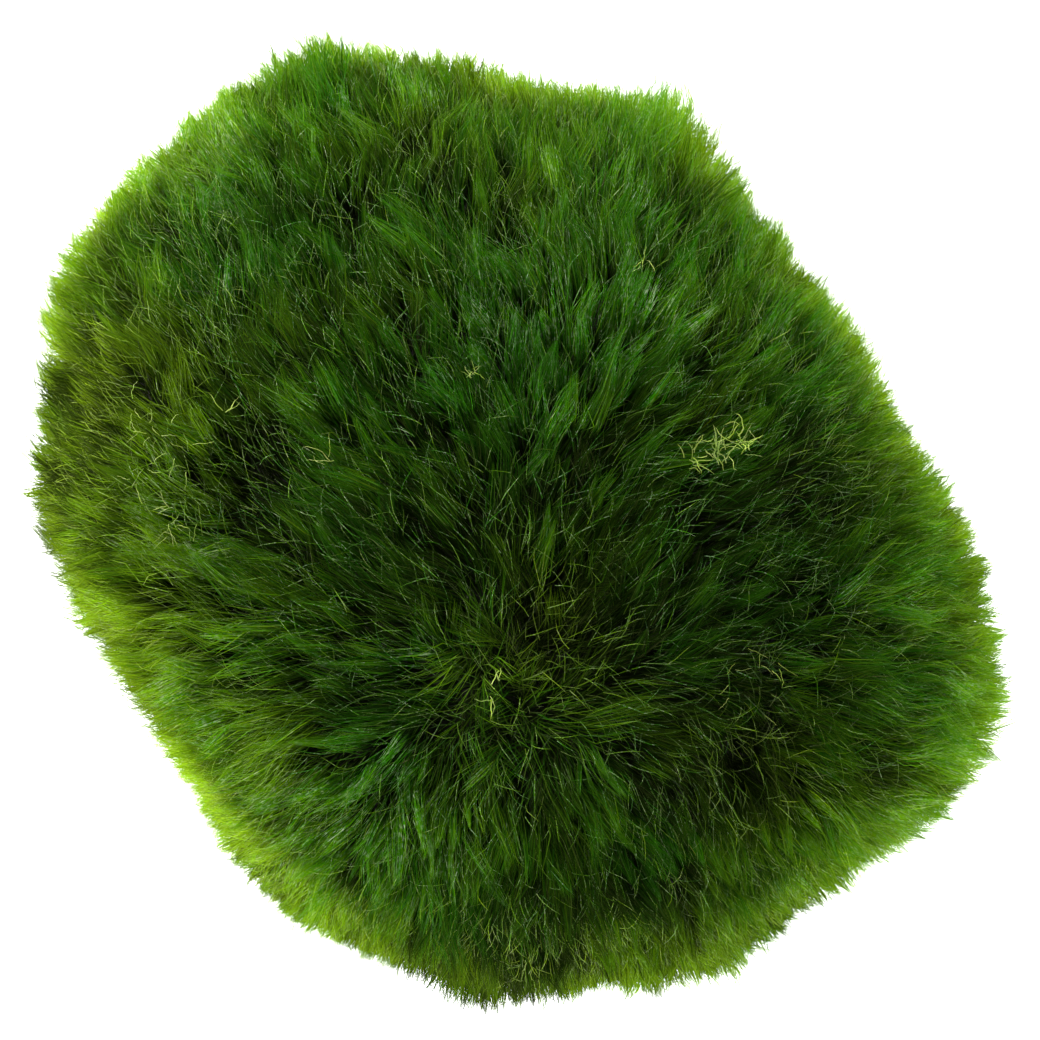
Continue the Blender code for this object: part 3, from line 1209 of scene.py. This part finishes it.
def light_world(horizon, zenith):
    """Soft light from all sides, brightest along the horizon."""
    nodes = Nodes(bpy.data.worlds.new("studio"))
    way = nodes.node("ShaderNodeTexCoord").outputs["Generated"]
    height = Value(nodes, nodes.node("ShaderNodeSeparateXYZ", None, {0: way}).outputs["Z"])
    risen = ((height - RING_TOP) * RING_FADE).clamped()
    strength = horizon + (zenith - horizon) * risen
    back = nodes.node("ShaderNodeBackground", None, {"Strength": strength})
    nodes.node("ShaderNodeOutputWorld", None, {"Surface": back.outputs[0]})
    bpy.context.scene.world = nodes.owner


def add_light(name, place, size, power):
    """A soft square lamp that lights the ball and can't be seen."""
    lamp = bpy.data.lights.new(name, "AREA")
    lamp.size = size
    lamp.energy = power
    light = bpy.data.objects.new(name, lamp)
    light.location = place
    light.rotation_euler = (LOOKS_AT - place).to_track_quat("-Z", "Y").to_euler()
    light.visible_camera = False
    bpy.context.scene.collection.objects.link(light)


def set_camera(view_width):
    """A camera straight above the ball, turned as the picture is."""
    data = bpy.data.cameras.new("camera")
    data.lens = SENSOR * CAMERA_DISTANCE / view_width
    data.sensor_width = SENSOR
    camera = bpy.data.objects.new("camera", data)
    camera.location = LOOKS_AT + Vector((0, 0, CAMERA_DISTANCE))
    camera.rotation_euler = (0.0, 0.0, math.atan2(CAMERA_UP.y, CAMERA_UP.x) - math.pi / 2)
    bpy.context.scene.collection.objects.link(camera)
    bpy.context.scene.camera = camera


class MOSSBALL_OT_studio(Operator):
    """Set up the pale floor, the soft light and the camera above the ball"""

    bl_idname = "moss_ball.studio"
    bl_label = "Studio"

    def execute(self, context):
        studio = context.scene.moss_studio
        lay_floor(studio.floor_size)
        light_world(studio.horizon, studio.zenith)
        left = CAMERA_UP.cross(Vector((0, 0, -1)))
        place = left * KEY_LEFT + CAMERA_UP * KEY_AHEAD + Vector((0, 0, KEY_HEIGHT))
        add_light("key_light", place, KEY_SIZE, studio.key_power)
        set_camera(studio.view_width)
        context.scene.view_settings.view_transform = "Standard"
        return {"FINISHED"}


class VIEW3D_PT_moss_ball(Panel):
    bl_label = "Moss Ball"
    bl_space_type = "VIEW_3D"
    bl_region_type = "UI"
    bl_category = "Moss Ball"

    def draw(self, context):
        scene = context.scene
        for group in (scene.moss_fibres, scene.moss_colours, scene.moss_studio):
            for key in group.__annotations__:
                self.layout.prop(group, key)
        for operator in STEPS:
            self.layout.operator(operator.bl_idname)


GROUPS = {"moss_fibres": MossBallFibres, "moss_colours": MossBallColours, "moss_studio": MossBallStudio}
STEPS = (MOSSBALL_OT_mat, MOSSBALL_OT_coat, MOSSBALL_OT_loose, MOSSBALL_OT_straw, MOSSBALL_OT_studio)


def register():
    for item in (*GROUPS.values(), *STEPS, VIEW3D_PT_moss_ball):
        bpy.utils.register_class(item)
    for name, group in GROUPS.items():
        setattr(bpy.types.Scene, name, PointerProperty(type=group))


def unregister():
    for name in GROUPS:
        delattr(bpy.types.Scene, name)
    for item in (VIEW3D_PT_moss_ball, *reversed(STEPS), *GROUPS.values()):
        bpy.utils.unregister_class(item)


def main():
    register()
    bpy.ops.moss_ball.mat()
    bpy.ops.moss_ball.coat()
    bpy.ops.moss_ball.loose()
    bpy.ops.moss_ball.straw()
    bpy.ops.moss_ball.studio()


if __name__ == "__main__":
    main()
